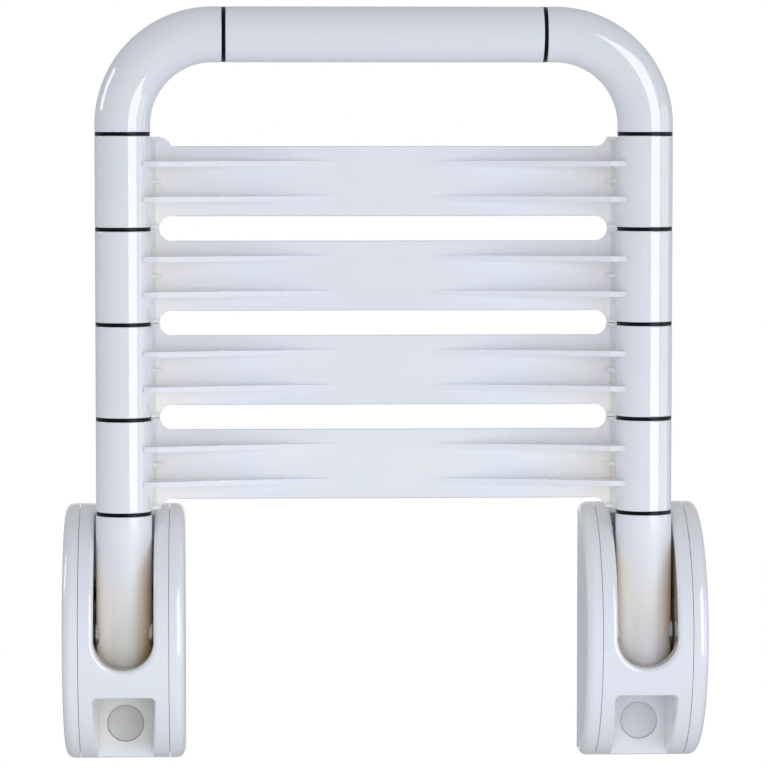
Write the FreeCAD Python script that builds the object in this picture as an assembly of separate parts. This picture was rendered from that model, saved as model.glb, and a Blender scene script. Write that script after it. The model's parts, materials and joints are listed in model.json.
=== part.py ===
import FreeCAD, Part
import math
import os

# Wall-mounted folding shower seat, modelled folded up. Millimetres.
# X runs left to right, +Z is up, the wall is the plane y = 0 and the seat stands out towards -Y.
# The origin is on the wall, midway between the two lower wall screws.

V = FreeCAD.Vector
X_AXIS, Y_AXIS, Z_AXIS = V(1, 0, 0), V(0, 1, 0), V(0, 0, 1)
NO_MOVE = V(0, 0, 0)

# ---- driving dimensions -------------------------------------------------------------------
# rail: a steel tube bent to a U, covered with nylon sleeves
LEG_X = 163.0            # leg centreline either side of the middle
RAIL_Y = -40.0           # centre plane of the rail, in front of the wall
SLEEVE_R = 17.5
SLEEVE_BORE_R = 14.7
TUBE_R = 14.5
TUBE_WALL = 1.5
BEND_R = 56.25
SLEEVE_EDGE = 0.7        # rounding of a sleeve's ends

# heights; the pivot is above the lower wall screws, the rest is above the pivot
PIVOT_Z = 60.4
FIRST_RING = 75.8
RING_PITCH = 59.15
SLAT_COUNT = 4
GRIP_RISE = 374.1        # from the pivot to the grip bar's centre
GRIP_RING_X = 100.0
RING_WIDTH = 2.25
RING_R = 17.25
RING_ROOM_R = 17.6       # the slats' skins stand clear of the rings by this
HEEL = 26.0              # the tube goes on this far below the pivot
HEEL_FLOOR = 2.2

# slats
SLOT_R = 7.65            # half the gap between two slats, and the rounding of its ends
SLOT_TIP_X = 140.4
SKIN_BACK = 14.0         # sitting side, behind the rail's centre plane
SKIN = 3.0
FLANK_FOOT = 20.4        # a straight flank runs onto the sleeve from here on the skin
WEB_GAP = 0.4            # between two slats' skins beside a sleeve
RIB_SPREAD = 11.0        # each rib from the slat's middle
RIB_WIDTH = 3.3
RIB_END_X = 150.0
RIB_FLAT_X = 141.0
RIB_FADE_X = 30.0
RIB_FRONT = 13.2         # a rib's front edge at its end, in front of the rail's centre plane
RIB_DIP = 2.0            # and half-way along, behind that plane
STUB_WIDTH = 2.2
STUB_FRONT = 1.0         # behind the rail's centre plane
END_WALL = 2.0           # small walls where the skin meets a sleeve, at the slat's two edges
END_WALL_FRONT = 3.0
GUSSET_REACH = 7.5       # of the stub and the small walls, from the sleeve
GUSSET_FLAT = 1.0
SLEEVE_BURY = 3.0        # how far these reach into the sleeve's wall
SITTING_EDGE = 2.0
PIN_R = 3.0              # round marks that the mould's ejector pins leave in the skin
PIN_DEPTH = 0.2
PIN_SPREAD = 16.0
PIN_XS = (21.5, 60.0, 98.0, 132.0)
PIN_PAD_R = 2.1          # pads on the long ribs, under pins of their own
PIN_PAD_XS = (61.0, 101.0)
EAR_TIP = 1.0            # rounded ear on the left of the last slat
EAR_BULGE = 1.65

# bracket, about a centre line at the leg
COVER_R = 81.8           # front surface, seen from the side
COVER_SETBACK = 6.8      # centre of that surface, behind the wall
COVER_DROP = 3.1         # and below the pivot
COVER_HALF = 38.1
COVER_EDGE = 6.0
COVER_WALL = 2.8
COVER_GAP = 0.5          # from the covers' rear rims to the wall
SEAM_X = 28.0
SEAM_GAP = 0.35
SLOT_HALF = 18.7
SLOT_WALL = 1.9
SLOT_DROP = 1.0          # the slot's round bottom is centred this far below the pivot
LIP_R = 3.0
BRIDGE_FRONT = 16.0      # a wall closes the slot's top behind the arm, from here to the wall
LIP_BACK = 60.0          # the slot's round bottom reaches back to here
HEEL_ROOM = 32.5
POCKET_HALF = 16.9       # at its floor; the sides open outwards
POCKET_OPENING = 0.047   # by this much for each mm forward
POCKET_TOP = 37.3
POCKET_FLOOR = 16.0
POCKET_WALL = 1.7
POCKET_CORNER = 3.0
POCKET_LIP = 2.0
TONGUE = 1.8             # a side shell's tongue, which closes the seam behind the middle shell
TONGUE_REACH = 3.2
TONGUE_FIT = 0.2
TONGUE_ROOT = 3.0
TONGUE_BURY = 0.5
TONGUE_FROM_WALL = 2.0

# steel work
PLATE = 4.0
PLATE_HALF = 24.7
PLATE_TOP = 74.6
PLATE_BOTTOM = -72.0
PLATE_CORNER_R = 3.0
PLATE_GAP = 0.5          # from the front of the plate to the cover's inner walls
CHEEK_INSIDE = 20.9
CHEEK_NOSE_R = 15.0
CHEEK_NOSE_TURN = math.radians(24)
CHEEK_FOOT = 6.0         # a cheek's foot, in front of the plate
CHEEK_FOOT_TOP = 46.0
CHEEK_FOOT_BOTTOM = -38.0
SCREW_HOLE_R = 3.25
UPPER_SCREW_RISE = 58.0
UPPER_SCREW_HALF = 10.0
STOP_R = 5.0
STOP_GAP = 0.3
STOP_OFFSET = SLEEVE_R + STOP_GAP + STOP_R   # the arm meets the bar at both ends of its travel

# hinge, along X
BOLT_R = 5.0
BOLT_HOLE_R = 5.25
BUSH_BORE_R = 5.06
BUSH_R = 7.0
BUSH_LENGTH = 13.0
PIVOT_TUBE_R = 8.5
PIVOT_TUBE_BORE_R = 7.02
PIVOT_TUBE_HALF = 17.65
SIDE_HOLE_R = 8.6        # through the tube and its sleeve for the pivot tube
SHIM_R, SHIM_FROM, SHIM_TO = 7.5, 17.75, 18.65
WASHER_R, WASHER = 10.0, 1.8
SPRING_OUT_R, SPRING, SPRING_SHEET = 9.5, 1.6, 0.9
HEAD_HEIGHT, HEAD_FLATS = 6.4, 16.0
NUT_HEIGHT, NUT_FLATS = 6.0, 16.0

# screw plug in the pocket floor
PLUG_R = 11.5
PLUG_RECESS_R = 11.8
PLUG_HEAD = 1.5
PLUG_DOME_R = 80.0
PLUG_SKIRT_R = 10.0
PLUG_HOLE_R = 10.2
PLUG_SKIRT_WALL = 1.5
PLUG_SKIRT = 9.0
PLUG_SEAT = 4.0          # thickness of the pocket floor round the plug
PLUG_SEAT_RIM = 1.5

OVERCUT = 1.0            # how far a cutting shape goes past the face that it opens
NEAR = 0.01              # tolerance when an edge is picked by where it lies

BEND_Z = PIVOT_Z + GRIP_RISE - BEND_R
GRIP_Z = PIVOT_Z + GRIP_RISE


def ring_height(index):
    """Centre height of the spacer ring with this number, counted from the pivot."""
    return PIVOT_Z + FIRST_RING + index * RING_PITCH


# ---- plain shapes -------------------------------------------------------------------------
def rod(radius, start, end):
    """A solid cylinder from one point to another."""
    along = end - start
    return Part.makeCylinder(radius, along.Length, start, along)


def rod_x(radius, low, high, y, z):
    return rod(radius, V(low, y, z), V(high, y, z))


def block(low, high):
    """A box between two opposite corners."""
    size = high - low
    return Part.makeBox(size.x, size.y, size.z, low)


def prism(points, direction):
    """A flat outline of straight edges, pushed along a direction."""
    return Part.Face(Part.makePolygon(points + points[:1])).extrude(direction)


def hexagon(flats, start, end):
    """A hexagonal bar along X."""
    corner = flats / 2 / math.cos(math.pi / 6)
    turns = [math.pi / 3 * k for k in range(6)]
    points = [start + V(0, corner * math.cos(t), corner * math.sin(t)) for t in turns]
    return prism(points, end - start)


def round_edges(shape, radius, wanted):
    """Fillets every edge for which wanted(edge) is true."""
    return shape.makeFillet(radius, [edge for edge in shape.Edges if wanted(edge)])


def middle(edge):
    return edge.valueAt((edge.FirstParameter + edge.LastParameter) / 2)


def spots(edge):
    return [edge.valueAt(edge.FirstParameter), middle(edge), edge.valueAt(edge.LastParameter)]


def on_plane(edge, point, normal):
    """True for an edge that lies in the plane through point."""
    return all(abs((p - point).dot(normal)) < NEAR for p in spots(edge))


def mirrored(shape):
    return shape.mirror(NO_MOVE, X_AXIS)


# ---- rail ---------------------------------------------------------------------------------
def corner(radius, leg_from, grip_to):
    """The right-hand bend with its two straight ends, as a solid bar."""
    leg = rod(radius, V(LEG_X, RAIL_Y, leg_from), V(LEG_X, RAIL_Y, BEND_Z))
    centre = V(LEG_X - BEND_R, RAIL_Y, BEND_Z)
    bend = Part.makeTorus(BEND_R, radius, centre, V(0, -1, 0), -180, 180, 90)
    bend.rotate(centre, V(0, 1, 0), bend_turn(bend, centre))
    grip = rod(radius, V(grip_to, RAIL_Y, GRIP_Z), V(LEG_X - BEND_R, RAIL_Y, GRIP_Z))
    return leg.fuse([bend, grip]).removeSplitter()


def bend_turn(bend, centre):
    """How far a quarter torus has to turn about Y to lie between the leg and the grip."""
    away = bend.CenterOfMass - centre
    return math.degrees(math.atan2(away.z, away.x)) - 45


def frame_tube():
    """The steel tube under all sleeves, with a cross hole in each leg for its pivot tube."""
    bottom = PIVOT_Z - HEEL
    outside = corner(TUBE_R, bottom, 0)
    inside = corner(TUBE_R - TUBE_WALL, bottom, 0)
    half = outside.cut([inside, rod_x(SIDE_HOLE_R, 0, LEG_X + SLEEVE_R, RAIL_Y, PIVOT_Z)])
    return half.fuse(mirrored(half)).removeSplitter()


def corner_sleeve():
    leg_from = ring_height(SLAT_COUNT) + RING_WIDTH / 2
    grip_to = GRIP_RING_X + RING_WIDTH / 2
    outside = corner(SLEEVE_R, leg_from, grip_to)

    def at_end(edge):
        at_leg = on_plane(edge, V(0, 0, leg_from), Z_AXIS)
        return at_leg or on_plane(edge, V(grip_to, 0, 0), X_AXIS)

    return round_edges(outside, SLEEVE_EDGE, at_end).cut(corner(SLEEVE_BORE_R, leg_from, grip_to))


def straight_sleeve(start, end):
    """A sleeve with rounded ends, still without its bore."""
    bar = rod(SLEEVE_R, start, end)
    along = (end - start).normalize()

    def at_end(edge):
        return on_plane(edge, start, along) or on_plane(edge, end, along)

    return round_edges(bar, SLEEVE_EDGE, at_end)


def grip_sleeve():
    reach = GRIP_RING_X - RING_WIDTH / 2
    start, end = V(-reach, RAIL_Y, GRIP_Z), V(reach, RAIL_Y, GRIP_Z)
    return straight_sleeve(start, end).cut(rod(SLEEVE_BORE_R, start, end))


def spacer_ring(centre, along):
    half = along * (RING_WIDTH / 2)
    ring = rod(RING_R, centre - half, centre + half)
    return ring.cut(rod(SLEEVE_BORE_R, centre - half, centre + half))


def arm_sleeve():
    """Right arm: a closed cup over the end of the leg, with a cross hole for the pivot tube."""
    top = V(LEG_X, RAIL_Y, ring_height(0) - RING_WIDTH / 2)
    tube_end = V(LEG_X, RAIL_Y, PIVOT_Z - HEEL)
    floor = tube_end - V(0, 0, HEEL_FLOOR)
    cup = rod(SLEEVE_R, floor, top)
    cup = round_edges(cup, LIP_R, lambda edge: on_plane(edge, floor, Z_AXIS))
    cup = round_edges(cup, SLEEVE_EDGE, lambda edge: on_plane(edge, top, Z_AXIS))
    side_hole = rod_x(SIDE_HOLE_R, LEG_X - SLEEVE_R, LEG_X + SLEEVE_R, RAIL_Y, PIVOT_Z)
    return cup.cut([rod(SLEEVE_BORE_R, tube_end, top), side_hole])


# ---- slats --------------------------------------------------------------------------------
def skin(low, high):
    """A slat's skin, whole from leg to leg, with a straight flank that runs onto each sleeve."""
    back = RAIL_Y + SKIN_BACK
    leg = V(LEG_X, RAIL_Y, low)
    foot = V(LEG_X - FLANK_FOOT, back - SKIN, low)
    to_foot = foot - leg
    turn = math.atan2(to_foot.y, -to_foot.x) - math.acos(SLEEVE_R / to_foot.Length)
    touch = leg + V(-math.cos(turn), math.sin(turn), 0) * SLEEVE_R
    right = [V(LEG_X - SLEEVE_R / 2, back, low), touch, foot]
    left = [V(-point.x, point.y, point.z) for point in reversed(right)]
    return prism(right + left, V(0, 0, high - low))


def slot_cutter(z):
    """The gap between two slats: a long hole with round ends."""
    straight = SLOT_TIP_X - SLOT_R
    front, back = RAIL_Y - SLEEVE_R, 0
    cutter = block(V(-straight, front, z - SLOT_R), V(straight, back, z + SLOT_R))
    ends = [rod(SLOT_R, V(x, front, z), V(x, back, z)) for x in (-straight, straight)]
    return cutter.fuse(ends).removeSplitter()


def long_rib(z, width):
    """Right-hand rib: deep where it grips the sleeve, running out into the skin."""
    low = z - width / 2
    front = RAIL_Y - RIB_FRONT
    inside_skin = RAIL_Y + SKIN_BACK - SKIN / 2
    skin_face = RAIL_Y + SKIN_BACK - SKIN
    half_way = V((RIB_FLAT_X + RIB_FADE_X) / 2, RAIL_Y + RIB_DIP, low)
    square_end = V(RIB_END_X, front, low)
    flat_end = V(RIB_FLAT_X, front, low)
    fade = V(RIB_FADE_X, skin_face, low)
    buried_in = V(RIB_FADE_X, inside_skin, low)
    buried_out = V(RIB_END_X, inside_skin, low)
    edges = [
        Part.LineSegment(square_end, flat_end).toShape(),
        Part.Arc(flat_end, half_way, fade).toShape(),
        Part.LineSegment(fade, buried_in).toShape(),
        Part.LineSegment(buried_in, buried_out).toShape(),
        Part.LineSegment(buried_out, square_end).toShape(),
    ]
    return Part.Face(Part.Wire(edges)).extrude(V(0, 0, width))


def padded_rib(z):
    """A long rib with its ejector pads: round swellings as high as the rib is where they stand."""
    thick = long_rib(z, 2 * PIN_PAD_R)
    front, back = RAIL_Y - RIB_FRONT, RAIL_Y + SKIN_BACK - SKIN / 2
    pads = [thick.common(rod(PIN_PAD_R, V(x, front, z), V(x, back, z))) for x in PIN_PAD_XS]
    return long_rib(z, RIB_WIDTH).fuse(pads)


def pin_marks(centre):
    """The shallow discs that the ejector pins leave along both edges of a slat's skin."""
    face = RAIL_Y + SKIN_BACK - SKIN
    marks = []
    for x in PIN_XS:
        for z in (centre - PIN_SPREAD, centre + PIN_SPREAD):
            for side in (-1, 1):
                start = V(side * x, face - OVERCUT, z)
                marks.append(rod(PIN_R, start, V(side * x, face + PIN_DEPTH, z)))
    return marks


def gusset(z, width, front):
    """A short wall from the sleeve to the skin: the stub rib and the end walls."""
    inside_skin = RAIL_Y + SKIN_BACK - SKIN / 2
    sleeve_side = LEG_X - SLEEVE_R
    points = [
        V(sleeve_side + SLEEVE_BURY, RAIL_Y + front, z),
        V(sleeve_side - GUSSET_FLAT, RAIL_Y + front, z),
        V(sleeve_side - GUSSET_REACH, RAIL_Y + SKIN_BACK - SKIN, z),
        V(sleeve_side - GUSSET_REACH, inside_skin, z),
        V(sleeve_side + SLEEVE_BURY, inside_skin, z),
    ]
    return prism(points, V(0, 0, width))


def top_left_ear(z):
    """The last slat's skin ends in a rounded ear on the left, where the others are hollowed."""
    back, front = RAIL_Y + SKIN_BACK, RAIL_Y + SKIN_BACK - SKIN
    edge = V(-SLOT_TIP_X + SLOT_R, front, z - SLOT_R)
    tip = V(-SLOT_TIP_X - EAR_TIP, front, z - RING_WIDTH / 2 - SLEEVE_EDGE)
    chord = tip - edge
    outward = V(chord.z, 0, -chord.x).normalize()
    bulge = (edge + tip) * 0.5 + outward * EAR_BULGE
    at_sleeve = -LEG_X + SLEEVE_R
    below = edge.z - OVERCUT
    corners = [tip, V(at_sleeve, front, tip.z), V(at_sleeve, front, below), V(edge.x, front, below), edge]
    edges = [Part.LineSegment(one, other).toShape() for one, other in zip(corners, corners[1:])]
    edges.append(Part.Arc(edge, bulge, tip).toShape())
    return Part.Face(Part.Wire(edges)).extrude(V(0, back - front, 0))


def slat(index):
    """One slat with the sleeves at both its ends, a single moulding."""
    low = ring_height(index) + RING_WIDTH / 2
    high = ring_height(index + 1) - RING_WIDTH / 2
    centre = (low + high) / 2
    first, last = index == 0, index == SLAT_COUNT - 1
    skin_low = low + SLEEVE_EDGE if first else ring_height(index) + WEB_GAP / 2
    skin_high = high - SLEEVE_EDGE if last else ring_height(index + 1) - WEB_GAP / 2
    body = skin(skin_low, skin_high)

    halves = [
        padded_rib(centre + RIB_SPREAD),
        padded_rib(centre - RIB_SPREAD),
        gusset(centre - STUB_WIDTH / 2, STUB_WIDTH, STUB_FRONT),
        gusset(skin_low, END_WALL, END_WALL_FRONT),
        gusset(skin_high - END_WALL, END_WALL, END_WALL_FRONT),
    ]
    body = body.fuse(halves + [mirrored(half) for half in halves])
    body = body.cut([slot_cutter(ring_height(index)), slot_cutter(ring_height(index + 1))])
    body = body.removeSplitter()

    back = V(0, RAIL_Y + SKIN_BACK, 0)

    def sitting_edge(edge):
        spot = middle(edge)
        inside = skin_low + NEAR < spot.z < skin_high - NEAR
        return inside and abs(spot.x) < SLOT_TIP_X + NEAR and on_plane(edge, back, Y_AXIS)

    body = round_edges(body, SITTING_EDGE, sitting_edge).cut(pin_marks(centre))
    if last:
        body = body.fuse(top_left_ear(ring_height(index + 1)))

    def around_legs(radius, start, end):
        return [rod(radius, V(x, RAIL_Y, start), V(x, RAIL_Y, end)) for x in (-LEG_X, LEG_X)]

    below = around_legs(RING_ROOM_R, ring_height(index), low)
    above = around_legs(RING_ROOM_R, high, ring_height(index + 1))
    body = body.cut(below + above)
    sleeves = [straight_sleeve(V(x, RAIL_Y, low), V(x, RAIL_Y, high)) for x in (-LEG_X, LEG_X)]
    return body.fuse(sleeves).cut(around_legs(SLEEVE_BORE_R, low, high)).removeSplitter()


# ---- bracket, in its own frame: x = 0 on the arm, y = 0 on the wall, z = 0 at the pivot ----
def cover_block(inset, edge, rear):
    """The bracket's half-disc outline, drawn in by inset, with its rear face at y = rear."""
    radius = COVER_R - inset
    half = COVER_HALF - inset
    rise = math.sqrt(radius ** 2 - (COVER_SETBACK - rear) ** 2)
    top, bottom = V(-half, rear, rise - COVER_DROP), V(-half, rear, -rise - COVER_DROP)
    nose = V(-half, COVER_SETBACK - radius, -COVER_DROP)
    outline = Part.Wire([Part.Arc(top, nose, bottom).toShape(), Part.LineSegment(bottom, top).toShape()])
    body = Part.Face(outline).extrude(V(2 * half, 0, 0))

    def side_arc(candidate):
        at_side = abs(abs(middle(candidate).x) - half) < NEAR
        return at_side and abs(middle(candidate).y - nose.y) < radius / 2

    return round_edges(body, edge, side_arc)


def cover_hollow():
    """The room inside the covers, open towards the wall."""
    return cover_block(COVER_WALL, COVER_EDGE - COVER_WALL, OVERCUT)


def slab(low, high):
    """A slice of the bracket between two x positions."""
    reach = 2 * COVER_R
    return block(V(low, -reach, -reach), V(high, reach, reach))


def u_channel(half, front, rear):
    """The arm's slot: open at the top with a half-round bottom just below the pivot."""
    straight = block(V(-half, front, -SLOT_DROP), V(half, rear, COVER_R))
    bottom = rod(half, V(0, front, -SLOT_DROP), V(0, rear, -SLOT_DROP))
    return straight.fuse(bottom).removeSplitter()


def pocket(half, top, floor):
    """The pocket below the slot, open to the front and running out at the bottom."""
    low = -2 * COVER_R
    wide = half + POCKET_OPENING * (COVER_R + floor)
    outline = [V(-half, floor, low), V(half, floor, low), V(wide, -COVER_R, low), V(-wide, -COVER_R, low)]
    body = prism(outline, V(0, 0, top - low))

    def top_corner(edge):
        return abs(middle(edge).x) > half / 2 and on_plane(edge, V(0, 0, top), Z_AXIS)

    return round_edges(body, POCKET_CORNER, top_corner)


def on_cover_front(edge):
    """True for an edge that runs on the curved front surface."""
    reaches = [math.hypot(p.y - COVER_SETBACK, p.z + COVER_DROP) for p in spots(edge)]
    return all(abs(reach - COVER_R) < 2 * NEAR for reach in reaches)


def slot_lip(edge):
    return on_cover_front(edge) and abs(middle(edge).x) < SLOT_HALF + NEAR


def pocket_lip(edge):
    spot = middle(edge)
    inside = abs(spot.x) < SEAM_X - OVERCUT and spot.z < -POCKET_TOP + OVERCUT
    return inside and spot.y < -POCKET_FLOOR - OVERCUT and on_cover_front(edge)


def centre_cover():
    """The middle shell: slot for the arm, pocket for the lower wall screw, holes for the pivot."""
    front, inner_back = -COVER_R, -PLATE - PLATE_GAP
    body = cover_block(0, COVER_EDGE, -COVER_GAP).common(slab(-SEAM_X, SEAM_X))
    body = round_edges(body.cut(u_channel(SLOT_HALF, front, OVERCUT)), LIP_R, slot_lip)
    body = round_edges(body.cut(pocket(POCKET_HALF, -POCKET_TOP, -POCKET_FLOOR)), POCKET_LIP, pocket_lip)

    slot_outside = SLOT_HALF + SLOT_WALL
    heel_low = V(-slot_outside, -LIP_BACK - SLOT_WALL, -HEEL_ROOM)
    inner_walls = u_channel(slot_outside, front, inner_back).fuse([
        block(heel_low, V(slot_outside, inner_back, COVER_R)),
        pocket(POCKET_HALF + POCKET_WALL, POCKET_WALL - POCKET_TOP, POCKET_WALL - POCKET_FLOOR),
    ])
    heel_room = block(V(-SLOT_HALF, -LIP_BACK, -HEEL_ROOM), V(SLOT_HALF, OVERCUT, 0))
    body = body.cut([cover_hollow().cut(inner_walls), heel_room])

    rim = cover_block(0, COVER_EDGE, -COVER_GAP).cut(cover_hollow())
    bridge = block(V(-SLOT_HALF - OVERCUT, -BRIDGE_FRONT, 0), V(SLOT_HALF + OVERCUT, 0, COVER_R))
    plug = V(0, -POCKET_FLOOR, -PIVOT_Z)
    seat = rod(PLUG_RECESS_R + PLUG_SEAT_RIM, plug + Y_AXIS * OVERCUT, plug + Y_AXIS * PLUG_SEAT)
    holes = [
        rod_x(BOLT_HOLE_R, -SEAM_X, SEAM_X, RAIL_Y, 0),
        rod_x(STOP_R + STOP_GAP, -SEAM_X, SEAM_X, RAIL_Y + STOP_OFFSET, STOP_OFFSET),
        rod(PLUG_HOLE_R, plug, plug + Y_AXIS * (PLUG_SEAT + OVERCUT)),
        rod(PLUG_RECESS_R, plug - Y_AXIS * OVERCUT, plug + Y_AXIS * PLUG_HEAD),
    ]
    return body.fuse([rim.common(bridge), seat]).cut(holes).removeSplitter()


def side_cover():
    """The shell on the +x side, with a tongue along its seam that reaches in behind the middle."""
    seam = SEAM_X + SEAM_GAP
    shell = cover_block(0, COVER_EDGE, -COVER_GAP).cut(cover_hollow())
    shell = shell.common(slab(seam, COVER_HALF))

    def inner_disc(inset, start, end):
        return rod_x(COVER_R - COVER_WALL - inset, start, end, COVER_SETBACK, -COVER_DROP)

    tip, root = seam - TONGUE_REACH, seam + TONGUE_ROOT
    tongue = inner_disc(TONGUE_FIT, tip, seam).fuse(inner_disc(-TONGUE_BURY, seam, root))
    tongue = tongue.cut(inner_disc(TONGUE, tip, root))
    reach = 2 * COVER_R
    in_front = block(V(0, -reach, -reach), V(COVER_HALF, -TONGUE_FROM_WALL, reach))
    return shell.fuse(tongue.common(in_front)).removeSplitter()


def wall_bracket():
    """Steel plate on the wall with two cheeks that carry the hinge and the stop bar."""
    plate = block(V(-PLATE_HALF, -PLATE, PLATE_BOTTOM), V(PLATE_HALF, 0, PLATE_TOP))

    def plate_corner(edge):
        spot = middle(edge)
        at_end = min(abs(spot.z - PLATE_BOTTOM), abs(spot.z - PLATE_TOP)) < NEAR
        return at_end and abs(abs(spot.x) - PLATE_HALF) < NEAR

    plate = round_edges(plate, PLATE_CORNER_R, plate_corner)
    foot = -PLATE - CHEEK_FOOT
    nose_y = RAIL_Y - CHEEK_NOSE_R * math.sin(CHEEK_NOSE_TURN)
    nose_z = CHEEK_NOSE_R * math.cos(CHEEK_NOSE_TURN)
    outline = [
        V(CHEEK_INSIDE, -PLATE / 2, CHEEK_FOOT_BOTTOM),
        V(CHEEK_INSIDE, -PLATE / 2, CHEEK_FOOT_TOP),
        V(CHEEK_INSIDE, foot, CHEEK_FOOT_TOP),
        V(CHEEK_INSIDE, nose_y, nose_z),
        V(CHEEK_INSIDE, nose_y, -nose_z),
        V(CHEEK_INSIDE, foot, CHEEK_FOOT_BOTTOM),
    ]
    nose = rod_x(CHEEK_NOSE_R, CHEEK_INSIDE, PLATE_HALF, RAIL_Y, 0)
    cheek = prism(outline, V(PLATE_HALF - CHEEK_INSIDE, 0, 0)).fuse(nose)
    body = plate.fuse([cheek, mirrored(cheek)])

    screws = [(-UPPER_SCREW_HALF, UPPER_SCREW_RISE), (UPPER_SCREW_HALF, UPPER_SCREW_RISE), (0, -PIVOT_Z)]
    holes = [rod(SCREW_HOLE_R, V(x, -PLATE - OVERCUT, z), V(x, OVERCUT, z)) for x, z in screws]
    holes.append(rod_x(BOLT_HOLE_R, -PLATE_HALF, PLATE_HALF, RAIL_Y, 0))
    holes.append(rod_x(STOP_R, -PLATE_HALF, PLATE_HALF, RAIL_Y + STOP_OFFSET, STOP_OFFSET))
    return body.cut(holes).removeSplitter()


def stop_bar():
    return rod_x(STOP_R, -PLATE_HALF, PLATE_HALF, RAIL_Y + STOP_OFFSET, STOP_OFFSET)


def screw_plug():
    """A slightly domed round cap with a skirt that pushes into the pocket floor."""
    front = V(0, -POCKET_FLOOR, -PIVOT_Z)
    behind_cap, end = front + Y_AXIS * PLUG_HEAD, front + Y_AXIS * PLUG_SKIRT
    dome = Part.makeSphere(PLUG_DOME_R, front + Y_AXIS * PLUG_DOME_R)
    cap = rod(PLUG_R, front, behind_cap).common(dome)
    inside = rod(PLUG_SKIRT_R - PLUG_SKIRT_WALL, behind_cap, end)
    return cap.fuse(rod(PLUG_SKIRT_R, behind_cap, end).cut(inside)).removeSplitter()


def flat_washer(outer, low, high):
    return rod_x(outer, low, high, RAIL_Y, 0).cut(rod_x(BOLT_HOLE_R, low, high, RAIL_Y, 0))


def both_sides(shape):
    return Part.makeCompound([shape, mirrored(shape)])


def pivot_bolt():
    """Hexagon head on the outer side, thread end on the inner side."""
    head_from = PLATE_HALF + WASHER
    end = PLATE_HALF + WASHER + SPRING + NUT_HEIGHT
    shank = rod_x(BOLT_R, -end, head_from, RAIL_Y, 0)
    head = hexagon(HEAD_FLATS, V(head_from, RAIL_Y, 0), V(head_from + HEAD_HEIGHT, RAIL_Y, 0))
    return shank.fuse(head).removeSplitter()


def disc_spring():
    """A coned washer under the nut: it sets the hinge's friction."""
    low, high = PLATE_HALF + WASHER, PLATE_HALF + WASHER + SPRING
    outline = [
        V(-low, RAIL_Y + SPRING_OUT_R, 0),
        V(-low - SPRING_SHEET, RAIL_Y + SPRING_OUT_R, 0),
        V(-high, RAIL_Y + BOLT_HOLE_R, 0),
        V(-high + SPRING_SHEET, RAIL_Y + BOLT_HOLE_R, 0),
    ]
    face = Part.Face(Part.makePolygon(outline + outline[:1]))
    return face.revolve(V(0, RAIL_Y, 0), X_AXIS, 360)


def pivot_nut():
    low = PLATE_HALF + WASHER + SPRING
    nut = hexagon(NUT_FLATS, V(-low - NUT_HEIGHT, RAIL_Y, 0), V(-low, RAIL_Y, 0))
    return nut.cut(rod_x(BOLT_R, -low - NUT_HEIGHT, -low, RAIL_Y, 0))


def pivot_tube():
    solid = rod_x(PIVOT_TUBE_R, -PIVOT_TUBE_HALF, PIVOT_TUBE_HALF, RAIL_Y, 0)
    return solid.cut(rod_x(PIVOT_TUBE_BORE_R, -PIVOT_TUBE_HALF, PIVOT_TUBE_HALF, RAIL_Y, 0))


def pivot_bush():
    low, high = PIVOT_TUBE_HALF - BUSH_LENGTH, PIVOT_TUBE_HALF
    bush = rod_x(BUSH_R, low, high, RAIL_Y, 0)
    return bush.cut(rod_x(BUSH_BORE_R, low, high, RAIL_Y, 0))


# ---- whole seat ---------------------------------------------------------------------------
def rail_nodes():
    nodes = {"frame_tube": frame_tube(), "front_grip_sleeve": grip_sleeve()}
    right_corner, right_arm = corner_sleeve(), arm_sleeve()
    nodes["right_corner_sleeve"], nodes["left_corner_sleeve"] = right_corner, mirrored(right_corner)
    nodes["right_arm_sleeve"], nodes["left_arm_sleeve"] = right_arm, mirrored(right_arm)
    for index in range(SLAT_COUNT):
        nodes[f"seat_slat_{index + 1}"] = slat(index)
    for side, sign in (("left", -1), ("right", 1)):
        for index in range(SLAT_COUNT + 1):
            centre = V(sign * LEG_X, RAIL_Y, ring_height(index))
            nodes[f"{side}_spacer_ring_{index + 1}"] = spacer_ring(centre, Z_AXIS)
        centre = V(sign * GRIP_RING_X, RAIL_Y, GRIP_Z)
        nodes[f"{side}_grip_spacer_ring"] = spacer_ring(centre, X_AXIS)
    return nodes


def bracket_nodes():
    """Both brackets. Each shape is made for the right one; the left one is its mirror image."""
    pieces = {
        "wall_bracket": wall_bracket(),
        "stop_bar": stop_bar(),
        "centre_cover": centre_cover(),
        "outer_side_cover": side_cover(),
        "inner_side_cover": mirrored(side_cover()),
        "screw_plug": screw_plug(),
        "pivot_bolt": pivot_bolt(),
        "pivot_nut": pivot_nut(),
        "pivot_washers": both_sides(flat_washer(WASHER_R, PLATE_HALF, PLATE_HALF + WASHER)),
        "disc_spring": disc_spring(),
        "hinge_shims": both_sides(flat_washer(SHIM_R, SHIM_FROM, SHIM_TO)),
        "pivot_tube": pivot_tube(),
        "pivot_bushes": both_sides(pivot_bush()),
    }
    nodes = {}
    for name, piece in pieces.items():
        right = piece.translated(V(LEG_X, 0, PIVOT_Z))
        nodes[f"right_{name}"] = right
        nodes[f"left_{name}"] = mirrored(right)
    return nodes


os.makedirs("parts", exist_ok=True)
for node, shape in {**rail_nodes(), **bracket_nodes()}.items():
    shape.exportStep(f"parts/{node}.step")
    print(node, len(shape.Solids), shape.isValid(), round(shape.Volume))
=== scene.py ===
import json
import math

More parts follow.
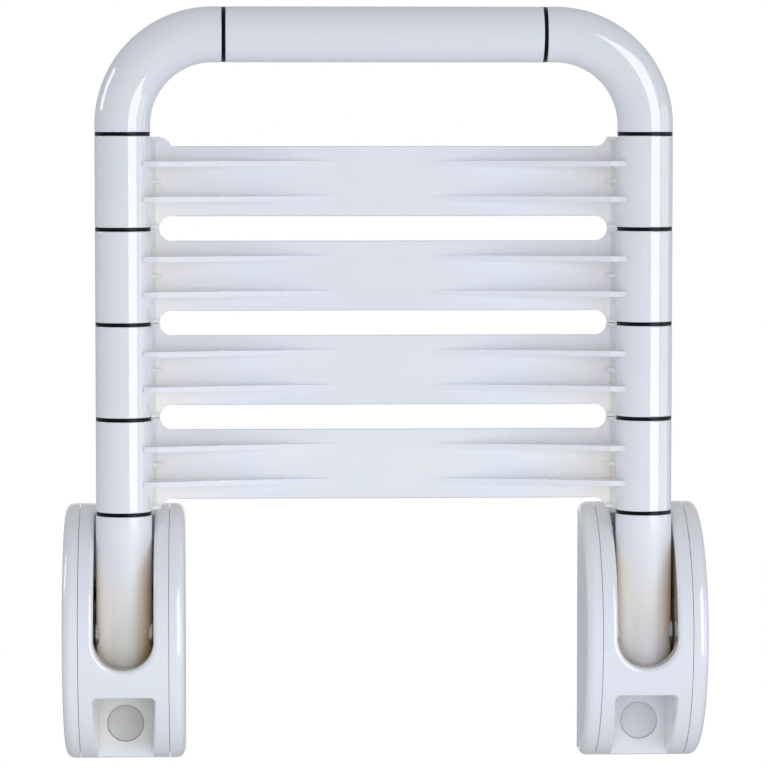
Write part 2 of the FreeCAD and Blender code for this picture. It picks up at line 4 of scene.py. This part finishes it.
import bpy
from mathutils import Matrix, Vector


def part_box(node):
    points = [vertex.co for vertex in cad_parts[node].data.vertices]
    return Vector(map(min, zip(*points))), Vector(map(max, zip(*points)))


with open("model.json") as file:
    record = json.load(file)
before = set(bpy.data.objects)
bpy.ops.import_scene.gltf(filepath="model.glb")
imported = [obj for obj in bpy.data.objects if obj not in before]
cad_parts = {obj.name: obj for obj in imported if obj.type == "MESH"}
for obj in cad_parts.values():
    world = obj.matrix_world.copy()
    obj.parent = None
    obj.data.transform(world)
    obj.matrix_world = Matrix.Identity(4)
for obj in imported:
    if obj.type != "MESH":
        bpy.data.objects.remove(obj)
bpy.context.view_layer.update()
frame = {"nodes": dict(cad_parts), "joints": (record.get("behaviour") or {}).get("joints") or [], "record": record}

MM = 0.001

# ---- what the frame says ------------------------------------------------------------------
PIVOT = Vector(next(joint for joint in frame["joints"] if joint["name"] == "seat_fold")["pos_m"])


def centre_of(node):
    """The middle of a node's box."""
    low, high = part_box(node)
    return (Vector(low) + Vector(high)) / 2


LEG_X = centre_of("right_arm_sleeve").x
RAIL_Y = centre_of("front_grip_sleeve").y
RING_Z = centre_of("left_spacer_ring_1").z
SLAT_PITCH = centre_of("left_spacer_ring_2").z - RING_Z
PLUG_Z = centre_of("right_screw_plug").z
PLUG_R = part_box("right_screw_plug")[1][2] - PLUG_Z
COVER_R = 81.8 * MM                                  # the bracket covers' round front
COVER_AXIS = Vector((0, 6.8 * MM, PIVOT.z - 3.1 * MM))
COVER_HALF = 38.1 * MM


# ---- colours ------------------------------------------------------------------------------
COOL_WHITE, BLUE_WHITE = (0.88, 0.905, 0.95), (0.865, 0.90, 0.955)
# The smudge colour also paints the shade above each slat's ribs; the slat edge colour is painted shade.
SMUDGE_AND_SHADE, SLAT_EDGE_SHADE = (0.77, 0.785, 0.81), (0.56, 0.59, 0.63)
# Cream is random streaks and painted warm shade in recesses; the arm cream and grey are painted shade.
CREAM_STREAK_AND_SHADE, ARM_SHADE_CREAM, ARM_FOOT_SHADE = (0.98, 0.945, 0.88), (0.80, 0.79, 0.74), (0.60, 0.58, 0.53)
# The light cream is painted light on the arms' left flanks; deep cream and brownish are painted shade.
PAINTED_LIT_CREAM, DEEP_SHADE_CREAM, ARM_RIGHT_SHADE = (0.97, 0.94, 0.87), (0.86, 0.74, 0.58), (0.50, 0.37, 0.21)
# Lilac and dust are random flow and specks; the dull grey is painted shade on the covers' flanks.
LILAC, DUST, FLANK_SHADE_GREY = (0.86, 0.865, 0.95), (0.60, 0.58, 0.55), (0.68, 0.70, 0.76)
# Painted shade at the back of each pocket, lighter at the left and darker at the right.
POCKET_SHADES = (0.92, 0.91, 0.88), (0.72, 0.71, 0.675)
# Painted shade on the plugs, darker to the right, and a painted shadow in the seam round each one.
PLUG_SHADES, PLUG_SEAM_SHADE = ((0.65, 0.65, 0.63), (0.47, 0.47, 0.445)), (0.30, 0.26, 0.20)

# Where the colours and painted shade change, each between two places. Heights are above the pivot.
ARM_MATT_Z = (92 * MM, 60 * MM)
ARM_DEEP_Z = (66 * MM, 25 * MM)
ARM_FOOT_Z = (22 * MM, -14 * MM)
POCKET_Z = (-35 * MM, -25 * MM)
COVER_TOP_Z = (35 * MM, 78 * MM)
# Widths are to the right of a leg's own middle.
ARM_LEFT_X = (-6 * MM, -14 * MM)
ARM_RIGHT_X = (6 * MM, 15 * MM)
PLUG_FACE_X = (-8 * MM, 8 * MM)
POCKET_X = (-13 * MM, 11 * MM)
# Distances from a leg's middle to either side, and from the middle of the seat.
COVER_FLANK_X = (COVER_HALF - 0.3 * MM, COVER_HALF - 0.1 * MM)
COVER_MIDDLE_X = (30 * MM, 29 * MM)
SLAT_INSIDE_X = (LEG_X - 17.4 * MM, LEG_X - 18 * MM)
SLAT_WARM_X = (85 * MM, 140 * MM)
SLAT_SLEEVE_X = (LEG_X - 17 * MM, LEG_X - 11 * MM)
SLAT_STRIP_X = (15 * MM, 90 * MM)
SLAT_EDGE_X = (LEG_X - 31 * MM, LEG_X - 34 * MM)
# On a slat: forward to back, up from the ring below it, and away from its own middle.
SLAT_DEEP_Y = (RAIL_Y - 10 * MM, RAIL_Y + 9 * MM)
STRIP_RISE = (40 * MM, 43 * MM)
EDGE_REACH = (21.3 * MM, 21.6 * MM)
# From the middle of a plug, and from the axis of the covers' round front.
SEAM_R = (PLUG_R - 0.5 * MM, PLUG_R - 0.2 * MM)
SUNK_R = (COVER_R - 9 * MM, COVER_R - 1.5 * MM)


# ---- materials ----------------------------------------------------------------------------
class Nodes:
    """A material's node tree, with short calls to add and join its nodes."""

    def __init__(self, name):
        self.material = bpy.data.materials.new(name)
        self.material.use_nodes = True
        self.tree = self.material.node_tree
        self.shader = self.tree.nodes["Principled BSDF"]
        self.place = self.add("ShaderNodeTexCoord").outputs["Object"]

    def add(self, kind, **values):
        """A new node, with its settings."""
        node = self.tree.nodes.new(kind)
        for key, value in values.items():
            setattr(node, key, value)
        return node

    def join(self, source, target):
        """Links an output to an input."""
        self.tree.links.new(source, target)

    def noise(self, scale, detail=3.0, stretch=(1, 1, 1)):
        """Noise in object space; a stretch under 1 draws it out along an axis."""
        mapping = self.add("ShaderNodeMapping")
        mapping.inputs["Scale"].default_value = stretch
        self.join(self.place, mapping.inputs["Vector"])
        noise = self.add("ShaderNodeTexNoise")
        noise.inputs["Scale"].default_value = scale
        noise.inputs["Detail"].default_value = detail
        self.join(mapping.outputs["Vector"], noise.inputs["Vector"])
        return noise.outputs["Fac"]

    def math(self, operation, first, second=None):
        """A math node's result, from one or two numbers or other nodes' outputs."""
        node = self.add("ShaderNodeMath", operation=operation)
        for socket, value in zip(node.inputs, (first, second)):
            if value is None:
                continue
            if isinstance(value, (int, float)):
                socket.default_value = value
            else:
                self.join(value, socket)
        return node.outputs[0]

    def distance(self, first, second):
        """The length of the vector that has these two values."""
        squares = self.math("ADD", self.math("MULTIPLY", first, first),
                            self.math("MULTIPLY", second, second))
        return self.math("SQRT", squares)

    def ramp(self, value, low, high, first=0.0, last=1.0):
        """Maps value from low..high to first..last, held at both ends."""
        node = self.add("ShaderNodeMapRange", clamp=True)
        limits = {"From Min": low, "From Max": high, "To Min": first, "To Max": last}
        for name, number in limits.items():
            node.inputs[name].default_value = number
        self.join(value, node.inputs["Value"])
        return node.outputs["Result"]

    def blend(self, factor, first, second):
        """A colour between two, each a tuple or another node's output."""
        node = self.add("ShaderNodeMix", data_type="RGBA")
        self.join(factor, node.inputs["Factor"])
        for socket, value in ((node.inputs[6], first), (node.inputs[7], second)):
            if isinstance(value, tuple):
                socket.default_value = (*value, 1)
            else:
                self.join(value, socket)
        return node.outputs[2]

    def axis(self, letter):
        """One coordinate of the object's space, in metres."""
        split = self.add("ShaderNodeSeparateXYZ")
        self.join(self.place, split.inputs[0])
        return split.outputs[letter]

    def bump(self, height, distance, under=None):
        """A normal for relief of this depth, over another node's normal if there is one."""
        node = self.add("ShaderNodeBump")
        node.inputs["Distance"].default_value = distance
        self.join(height, node.inputs["Height"])
        if under is not None:
            self.join(under, node.inputs["Normal"])
        return node.outputs["Normal"]

    def finish(self, colour, roughness, normal, **constants):
        """Fills the shader's sockets, and returns the material."""
        for value, name in ((colour, "Base Color"), (roughness, "Roughness"), (normal, "Normal")):
            if isinstance(value, tuple):
                self.shader.inputs[name].default_value = (*value, 1)
            elif isinstance(value, (float, int)):
                self.shader.inputs[name].default_value = value
            else:
                self.join(value, self.shader.inputs[name])
        for name, value in constants.items():
            self.shader.inputs[name.replace("_", " ")].default_value = value
        return self.material


def moulded(name, place_shade, gloss, wave, grain=(1, 1, 1), matt=None):
    """Glossy moulded plastic: place_shade colours it by place, painted shade and light included; over
    that lie flow variation, fine specks, wiped patches, hairline scratches, soft sink and orange peel.
    Gloss is its roughness and wave its sink in millimetres. Where matt is 1 the surface is dull."""
    nodes = Nodes(name)
    colour = place_shade(nodes)
    flow = nodes.ramp(nodes.noise(9, 4, grain), 0.35, 0.7)
    colour = nodes.blend(nodes.math("MULTIPLY", flow, 0.45), colour, LILAC)
    speck = nodes.ramp(nodes.noise(900, 2), 0.76, 0.84)
    colour = nodes.blend(nodes.math("MULTIPLY", speck, 0.10), colour, DUST)
    wiped = nodes.ramp(nodes.noise(60, 6, grain), 0.3, 0.75, gloss, gloss + 0.07)
    scratch = nodes.ramp(nodes.noise(420, 3, grain), 0.66, 0.78, 0.0, 0.06)
    roughness = nodes.math("ADD", wiped, scratch)
    if matt is not None:
        dull = matt(nodes)
        roughness = nodes.math("MAXIMUM", roughness, nodes.math("MULTIPLY", dull, 0.5))
        nodes.join(nodes.math("SUBTRACT", 1.0, dull), nodes.shader.inputs["Coat Weight"])
    sink = nodes.bump(nodes.noise(22, 2, grain), wave * MM)
    peel = nodes.bump(nodes.noise(1500, 2), 0.004 * MM, under=sink)
    return nodes.finish(colour, roughness, peel, IOR=1.5, Coat_Weight=1.0, Coat_Roughness=0.03,
                        Coat_IOR=1.5, Subsurface_Weight=0.12, Subsurface_Scale=0.004,
                        Subsurface_Radius=(1.0, 0.85, 0.65))


def by_height(nodes, heights, first=0.0, last=1.0):
    """A ramp between two heights above the pivot."""
    low, high = heights
    return nodes.ramp(nodes.axis("Z"), PIVOT.z + low, PIVOT.z + high, first, last)


def right_of_leg(nodes):
    """How far a point is to the right of its own leg's middle."""
    leg = nodes.math("MULTIPLY", nodes.math("SIGN", nodes.axis("X")), LEG_X)
    return nodes.math("SUBTRACT", nodes.axis("X"), leg)


def beside_leg(nodes, distances):
    """A ramp between two distances from a leg's middle, to either side."""
    from_leg = nodes.math("SUBTRACT", nodes.math("ABSOLUTE", nodes.axis("X")), LEG_X)
    return nodes.ramp(nodes.math("ABSOLUTE", from_leg), *distances)


def plain_white(nodes):
    """Cool white that drifts a little bluer."""
    return nodes.blend(nodes.ramp(nodes.noise(4, 2), 0.3, 0.7), COOL_WHITE, BLUE_WHITE)


def arm_in_slot(nodes):
    """1 where the arms sit in their slots."""
    return by_height(nodes, ARM_MATT_Z)


def sleeve_shade(nodes):
    """Cool white; down in their slots the arms carry painted shade, creamy and greyer at the foot,
    with painted light on the left flank and brownish painted shade on the right one."""
    deep = by_height(nodes, ARM_DEEP_Z)
    foot = by_height(nodes, ARM_FOOT_Z)
    across = right_of_leg(nodes)
    # Painted shade down the slot, greyer at the foot; painted light at the left flank, shade at the right.
    middle = nodes.blend(deep, plain_white(nodes), nodes.blend(foot, ARM_SHADE_CREAM, ARM_FOOT_SHADE))
    left = nodes.math("MULTIPLY", nodes.ramp(across, *ARM_LEFT_X), deep)
    right = nodes.math("MULTIPLY", nodes.ramp(across, *ARM_RIGHT_X), deep)
    return nodes.blend(right, nodes.blend(left, middle, PAINTED_LIT_CREAM), ARM_RIGHT_SHADE)


def slat_inside(nodes):
    """1 on skins and ribs, 0 on the sleeves."""
    return nodes.ramp(nodes.math("ABSOLUTE", nodes.axis("X")), *SLAT_INSIDE_X)


def slat_shade(nodes):
    """Cool white on the sleeves and along the middle, with painted warm shade where skin and ribs near
    a sleeve and random cream streaks; smudged on the skin, with painted shade above each slat's
    ribs and along its two edges."""
    across = nodes.math("ABSOLUTE", nodes.axis("X"))
    # Painted warm shade where skin and ribs near a sleeve, fuller towards the back; the streaks are random.
    inward = nodes.ramp(across, *SLAT_WARM_X)
    outward = nodes.ramp(across, *SLAT_SLEEVE_X, 1.0, 0.0)
    deep = nodes.ramp(nodes.axis("Y"), *SLAT_DEEP_Y, 0.25, 1.0)
    patch = nodes.ramp(nodes.noise(14, 4, (0.5, 1, 1)), 0.3, 0.75, 0.7, 1.0)
    warm_shade_share = nodes.math("MULTIPLY", inward, outward)
    warm_shade_share = nodes.math("MULTIPLY", nodes.math("MULTIPLY", warm_shade_share, deep), patch)
    streaks = nodes.ramp(nodes.noise(30, 5, (0.35, 1, 1)), 0.48, 0.72, 0.0, 0.4)
    warm = nodes.blend(nodes.math("MAXIMUM", warm_shade_share, streaks), plain_white(nodes), CREAM_STREAK_AND_SHADE)

    above_ring = nodes.math("SUBTRACT", nodes.axis("Z"), RING_Z)
    on_slat = nodes.math("MODULO", above_ring, SLAT_PITCH)
    smudge = nodes.ramp(nodes.noise(24, 5, (0.4, 1, 1)), 0.45, 0.75, 0.0, 0.3)
    # Painted shade in a band above each slat's ribs.
    strip_shade = nodes.math("MULTIPLY", nodes.ramp(on_slat, *STRIP_RISE, 0.0, 0.45),
                       nodes.ramp(across, *SLAT_STRIP_X))
    smudge_and_strip_shade = nodes.math("MULTIPLY", nodes.math("MAXIMUM", smudge, strip_shade), slat_inside(nodes))
    skin = nodes.blend(smudge_and_strip_shade, warm, SMUDGE_AND_SHADE)

    # Painted shade along each slat's two edges.
    from_middle = nodes.math("ABSOLUTE", nodes.math("SUBTRACT", on_slat, SLAT_PITCH / 2))
    edge = nodes.math("MULTIPLY", nodes.ramp(from_middle, *EDGE_REACH),
                      nodes.ramp(across, *SLAT_EDGE_X))
    return nodes.blend(edge, skin, SLAT_EDGE_SHADE)


def plug_shade(nodes):
    """Greyish white from painted shade, darker to the right, with a painted shadow in the seam round
    the edge.
    """
    across = right_of_leg(nodes)
    upward = nodes.math("SUBTRACT", nodes.axis("Z"), PLUG_Z)
    # Painted shadow in the seam round the plug, and painted shade darker to the right.
    seam = nodes.ramp(nodes.distance(across, upward), *SEAM_R)
    face = nodes.blend(nodes.ramp(across, *PLUG_FACE_X), *PLUG_SHADES)
    return nodes.blend(seam, face, PLUG_SEAM_SHADE)


def cover_flank(nodes):
    """1 on the covers' flat flanks, which are matt and carry painted shade."""
    return beside_leg(nodes, COVER_FLANK_X)


def cover_shade(nodes):
    """Cool white outside, with painted shade on the flanks; painted cream shade in the slot and the
    pocket and at the top behind the arm, and painted shade at the pocket's back, darker to the right.
    """
    forward = nodes.math("SUBTRACT", nodes.axis("Y"), COVER_AXIS.y)
    upward = nodes.math("SUBTRACT", nodes.axis("Z"), COVER_AXIS.z)
    # Painted cream shade in the slot and the pocket.
    shaded_recess = nodes.math("MULTIPLY", nodes.ramp(nodes.distance(forward, upward), *SUNK_R, 1.0, 0.0),
                      beside_leg(nodes, COVER_MIDDLE_X))
    # Painted cream shade towards the top.
    top = by_height(nodes, COVER_TOP_Z, 0.0, 0.6)
    # Painted shade on the flat flanks.
    outside = nodes.blend(cover_flank(nodes), plain_white(nodes), FLANK_SHADE_GREY)
    # Painted shade at the pocket's back, darker to the right.
    back = nodes.blend(nodes.ramp(right_of_leg(nodes), *POCKET_X), *POCKET_SHADES)
    recess_shade_colour = nodes.blend(by_height(nodes, POCKET_Z), back, DEEP_SHADE_CREAM)
    return nodes.blend(shaded_recess, nodes.blend(top, outside, CREAM_STREAK_AND_SHADE), recess_shade_colour)


def black_rubber():
    """Slightly dusty, smooth black rubber."""
    nodes = Nodes("spacer_black")
    dust = nodes.ramp(nodes.noise(700, 4), 0.55, 0.8)
    colour = nodes.blend(nodes.math("MULTIPLY", dust, 0.2),
                         (0.001, 0.001, 0.004), (0.012, 0.012, 0.016))
    roughness = nodes.ramp(nodes.noise(300, 3), 0.3, 0.7, 0.22, 0.36)
    grain = nodes.bump(nodes.noise(2500, 3), 0.01 * MM)
    return nodes.finish(colour, roughness, grain, IOR=1.5, Specular_IOR_Level=0.15)


def black_nylon():
    """Plain black nylon, worn greyer in places."""
    nodes = Nodes("black_nylon")
    worn = nodes.ramp(nodes.noise(400, 3), 0.4, 0.8)
    colour = nodes.blend(worn, (0.012, 0.012, 0.012), (0.035, 0.034, 0.032))
    roughness = nodes.ramp(nodes.noise(250, 3), 0.3, 0.7, 0.38, 0.5)
    return nodes.finish(colour, roughness, nodes.bump(nodes.noise(1800, 2), 0.01 * MM), IOR=1.5)


def brushed_steel():
    """Stainless steel, brushed in fine lines."""
    nodes = Nodes("stainless_steel")
    lines = nodes.noise(240, 5, (1, 1, 12))
    tone = nodes.blend(nodes.ramp(lines, 0.3, 0.7), (0.50, 0.50, 0.50), (0.66, 0.66, 0.65))
    roughness = nodes.ramp(lines, 0.3, 0.7, 0.24, 0.40)
    brushed = nodes.bump(lines, 0.012 * MM)
    return nodes.finish(tone, roughness, brushed, Metallic=1.0)


def natural_nylon():
    """Uncoloured nylon with turning marks."""
    nodes = Nodes("bush_nylon")
    cloud = nodes.ramp(nodes.noise(120, 4), 0.3, 0.7)
    colour = nodes.blend(cloud, (0.76, 0.74, 0.66), (0.82, 0.80, 0.74))
    roughness = nodes.ramp(nodes.noise(500, 3), 0.3, 0.7, 0.40, 0.55)
    turned = nodes.bump(nodes.noise(900, 2, (8, 1, 1)), 0.01 * MM)
    return nodes.finish(colour, roughness, turned, IOR=1.5)


MATERIALS = {
    "sleeve_nylon": moulded("sleeve_nylon", sleeve_shade, 0.06, 0.03, matt=arm_in_slot),
    "cover_plastic": moulded("cover_plastic", cover_shade, 0.07, 0.05, matt=cover_flank),
    "slat_plastic": moulded("slat_plastic", slat_shade, 0.06, 0.05,
                            grain=(0.3, 1, 1), matt=slat_inside),
    "plug_plastic": moulded("plug_plastic", plug_shade, 0.09, 0.06),
    "black_nylon": black_nylon(),
    "spacer_black": black_rubber(),
    "stainless_steel": brushed_steel(),
    "bush_nylon": natural_nylon(),
}


def dress_nodes():
    """Every CAD node keeps its shape and gets its slot's material."""
    slots = {part["node"]: part["material_slot"] for part in frame["record"]["subparts"]}
    for name in sorted(frame["nodes"]):
        mesh_object = bpy.data.objects[name]
        mesh_object.data.materials.clear()
        mesh_object.data.materials.append(MATERIALS[slots[name]])


dress_nodes()


# ---- stage, light and camera --------------------------------------------------------------
DAYLIGHT = (0.93, 0.955, 1.0)
# Brightness by direction, from -1, straight out from the wall, to 1, straight into it.
ROOM_SHADES = ((-0.7, 0.46), (-0.1, 0.52), (0.3, 0.58), (0.90, 0.52), (0.975, 1.0))
SEAT_MIDDLE = Vector((0, RAIL_Y, 0.2))
FLOOR_DROP, FLOOR_R = 0.45, 1.6                      # the floor is this far below the hinge
LENS, SENSOR = 187.85, 36.0
CAMERA_PLACE = Vector((-0.100, RAIL_Y - 2.5, PIVOT.z + 0.321))
CAMERA_AIM = Vector((-0.0002, RAIL_Y, PIVOT.z + 0.1562))


def stage():
    """A pale round floor at a seat's usual height below the hinge."""
    bpy.ops.mesh.primitive_circle_add(vertices=96, radius=FLOOR_R, fill_type="NGON",
                                      location=(0, -0.2, PIVOT.z - FLOOR_DROP))
    floor = bpy.context.object
    floor.name = "floor"
    nodes = Nodes("floor_pale")
    cloud = nodes.ramp(nodes.noise(3, 3), 0.3, 0.7)
    tone = nodes.blend(cloud, (0.80, 0.80, 0.80), (0.84, 0.84, 0.84))
    floor.data.materials.append(nodes.finish(tone, 0.6, nodes.bump(nodes.noise(80, 3), 0.1 * MM)))


def softbox(name, bearing, rise, distance, size, radiance, diffuse=True, glossy=True):
    """A soft box of the given brightness, aimed at the seat and not itself in view. Bearing is
    to the right of straight out from the wall, and rise is above level, both in degrees."""
    light = bpy.data.lights.new(name, "AREA")
    light.shape = "RECTANGLE"
    light.size, light.size_y = size
    light.energy = radiance * math.pi * size[0] * size[1]
    light.color = DAYLIGHT
    lamp = bpy.data.objects.new(name, light)
    bpy.context.collection.objects.link(lamp)
    turn, lift = math.radians(bearing), math.radians(rise)
    away = Vector((math.sin(turn) * math.cos(lift), -math.cos(turn) * math.cos(lift),
                   math.sin(lift)))
    lamp.location = SEAT_MIDDLE + distance * away
    lamp.rotation_euler = (-away).to_track_quat("-Z", "Y").to_euler()
    lamp.visible_camera = False
    lamp.visible_diffuse, lamp.visible_glossy = diffuse, glossy


def room():
    """A softly lit room, by direction from the front to the back: white behind the seat."""
    world = bpy.data.worlds.new("studio")
    bpy.context.scene.world = world
    world.use_nodes = True
    tree = world.node_tree
    split = tree.nodes.new("ShaderNodeSeparateXYZ")
    tree.links.new(tree.nodes.new("ShaderNodeTexCoord").outputs["Generated"], split.inputs[0])
    span = tree.nodes.new("ShaderNodeMapRange")
    span.inputs["From Min"].default_value = -1
    tree.links.new(split.outputs["Y"], span.inputs["Value"])
    shades = tree.nodes.new("ShaderNodeValToRGB")
    shades.color_ramp.interpolation = "EASE"
    ramp = shades.color_ramp.elements
    while len(ramp) < len(ROOM_SHADES):
        ramp.new(0.5)
    for stop, (towards_back, brightness) in zip(ramp, ROOM_SHADES):
        tint = DAYLIGHT if brightness < 1 else (1, 1, 1)
        stop.position = (towards_back + 1) / 2
        stop.color = (*(brightness * channel for channel in tint), 1)
    tree.links.new(span.outputs["Result"], shades.inputs["Fac"])
    tree.links.new(shades.outputs["Color"], tree.nodes["Background"].inputs["Color"])


def lights():
    """The room and its soft boxes; some only light, and some only show in reflections."""
    room()
    softbox("key_front", -2, 2, 3.2, (1.9, 1.9), 2.5, glossy=False)
    softbox("soft_right", 55, -5, 2.4, (1.4, 0.9), 1.6, glossy=False)
    softbox("card_right", 41.5, 8, 4.0, (2.75, 3.9), 3.3, diffuse=False)
    softbox("card_side", 86, -5, 4.0, (3.0, 2.4), 1.0, diffuse=False)
    softbox("fill_low", 0, -38, 0.55, (0.8, 0.3), 0.6, glossy=False)
    softbox("card_left", -100, 21, 3.0, (0.8, 1.1), 3.5, diffuse=False)


def camera():
    """A long lens, a little left of the seat's middle and above it, aimed at that middle."""
    data = bpy.data.cameras.new("camera")
    data.lens, data.sensor_width = LENS, SENSOR
    data.clip_start, data.clip_end = 0.05, 50
    view = bpy.data.objects.new("camera", data)
    bpy.context.collection.objects.link(view)
    view.location = CAMERA_PLACE
    view.rotation_euler = (CAMERA_AIM - CAMERA_PLACE).to_track_quat("-Z", "Y").to_euler()
    bpy.context.scene.camera = view


stage()
lights()
camera()
bpy.context.scene.view_settings.view_transform = "Standard"
